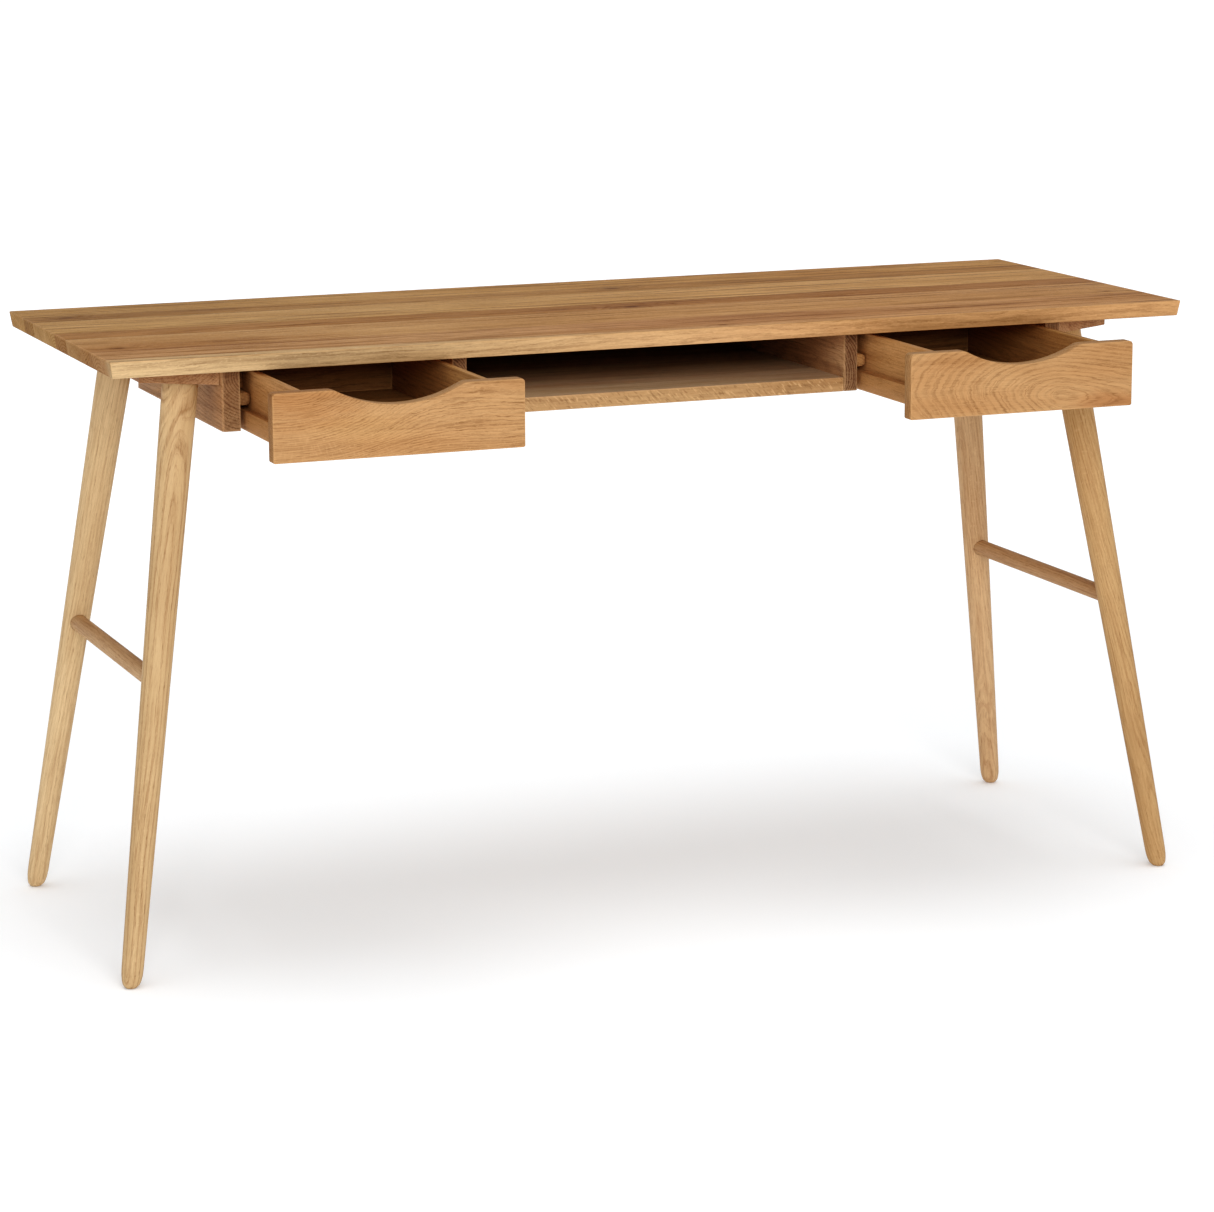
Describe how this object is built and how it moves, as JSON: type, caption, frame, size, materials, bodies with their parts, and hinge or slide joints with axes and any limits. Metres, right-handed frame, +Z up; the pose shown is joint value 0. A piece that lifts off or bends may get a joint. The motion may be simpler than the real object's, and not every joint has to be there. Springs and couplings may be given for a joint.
{
  "type": "writing desk with drawers",
  "caption": "Oak writing desk with a plank top, splayed turned legs, scooped drawers on wooden runners and an open shelf between them.",
  "frame": {"origin": "centre of the desk's bounding box, on the floor, with both drawers as open as they are stored", "axes": "+X along the top's length, to the right of a seated user; +Y from the user's side to the back; +Z up from the floor"},
  "size_m": [1.4146, 0.6498, 0.75],
  "materials": {
    "oak_top": "satin oiled oak planks, edge-glued lengthwise, pores and cathedral grain",
    "oak_case": "satin oiled oak, straight grain along each board, end grain at the front edges",
    "oak_front": "satin oiled oak, flat-sawn cathedral grain running from left to right",
    "oak_leg": "satin oiled turned oak, straight grain along the leg",
    "oak_inside": "satin oiled oak, plain-sawn",
    "plywood": "thin oak-faced plywood",
    "steel_screw": "satin zinc-plated wood screws"
  },
  "bodies": {
    "desk": {"case_back": "oak_inside", "case_divider_left": "oak_case", "case_divider_right": "oak_case", "case_side_left": "oak_case", "case_side_right": "oak_case", "centre_shelf": "oak_case", "leg_back_left": "oak_leg", "leg_back_right": "oak_leg", "leg_board_left": "oak_case", "leg_board_left_screw_1": "steel_screw", "leg_board_left_screw_2": "steel_screw", "leg_board_left_screw_3": "steel_screw", "leg_board_right": "oak_case", "leg_board_right_screw_1": "steel_screw", "leg_board_right_screw_2": "steel_screw", "leg_board_right_screw_3": "steel_screw", "leg_front_left": "oak_leg", "leg_front_right": "oak_leg", "runner_left_inner": "oak_case", "runner_left_inner_screw_1": "steel_screw", "runner_left_inner_screw_2": "steel_screw", "runner_left_outer": "oak_case", "runner_left_outer_screw_1": "steel_screw", "runner_left_outer_screw_2": "steel_screw", "runner_right_inner": "oak_case", "runner_right_inner_screw_1": "steel_screw", "runner_right_inner_screw_2": "steel_screw", "runner_right_outer": "oak_case", "runner_right_outer_screw_1": "steel_screw", "runner_right_outer_screw_2": "steel_screw", "side_stretcher_left": "oak_leg", "side_stretcher_right": "oak_leg", "tabletop": "oak_top"},
    "drawer_left": {"drawer_left_back": "oak_inside", "drawer_left_bottom": "plywood", "drawer_left_front": "oak_front", "drawer_left_side_left": "oak_inside", "drawer_left_side_right": "oak_inside"},
    "drawer_right": {"drawer_right_back": "oak_inside", "drawer_right_bottom": "plywood", "drawer_right_front": "oak_front", "drawer_right_side_left": "oak_inside", "drawer_right_side_right": "oak_inside"}
  },
  "joints": [
    {"name": "drawer_left_slide", "type": "slide", "parent": "desk", "child": "drawer_left", "axis": [0, -1, 0], "range_m": [-0.1812, 0.0988]},
    {"name": "drawer_right_slide", "type": "slide", "parent": "desk", "child": "drawer_right", "axis": [0, -1, 0], "range_m": [-0.1691, 0.1109]}
  ]
}
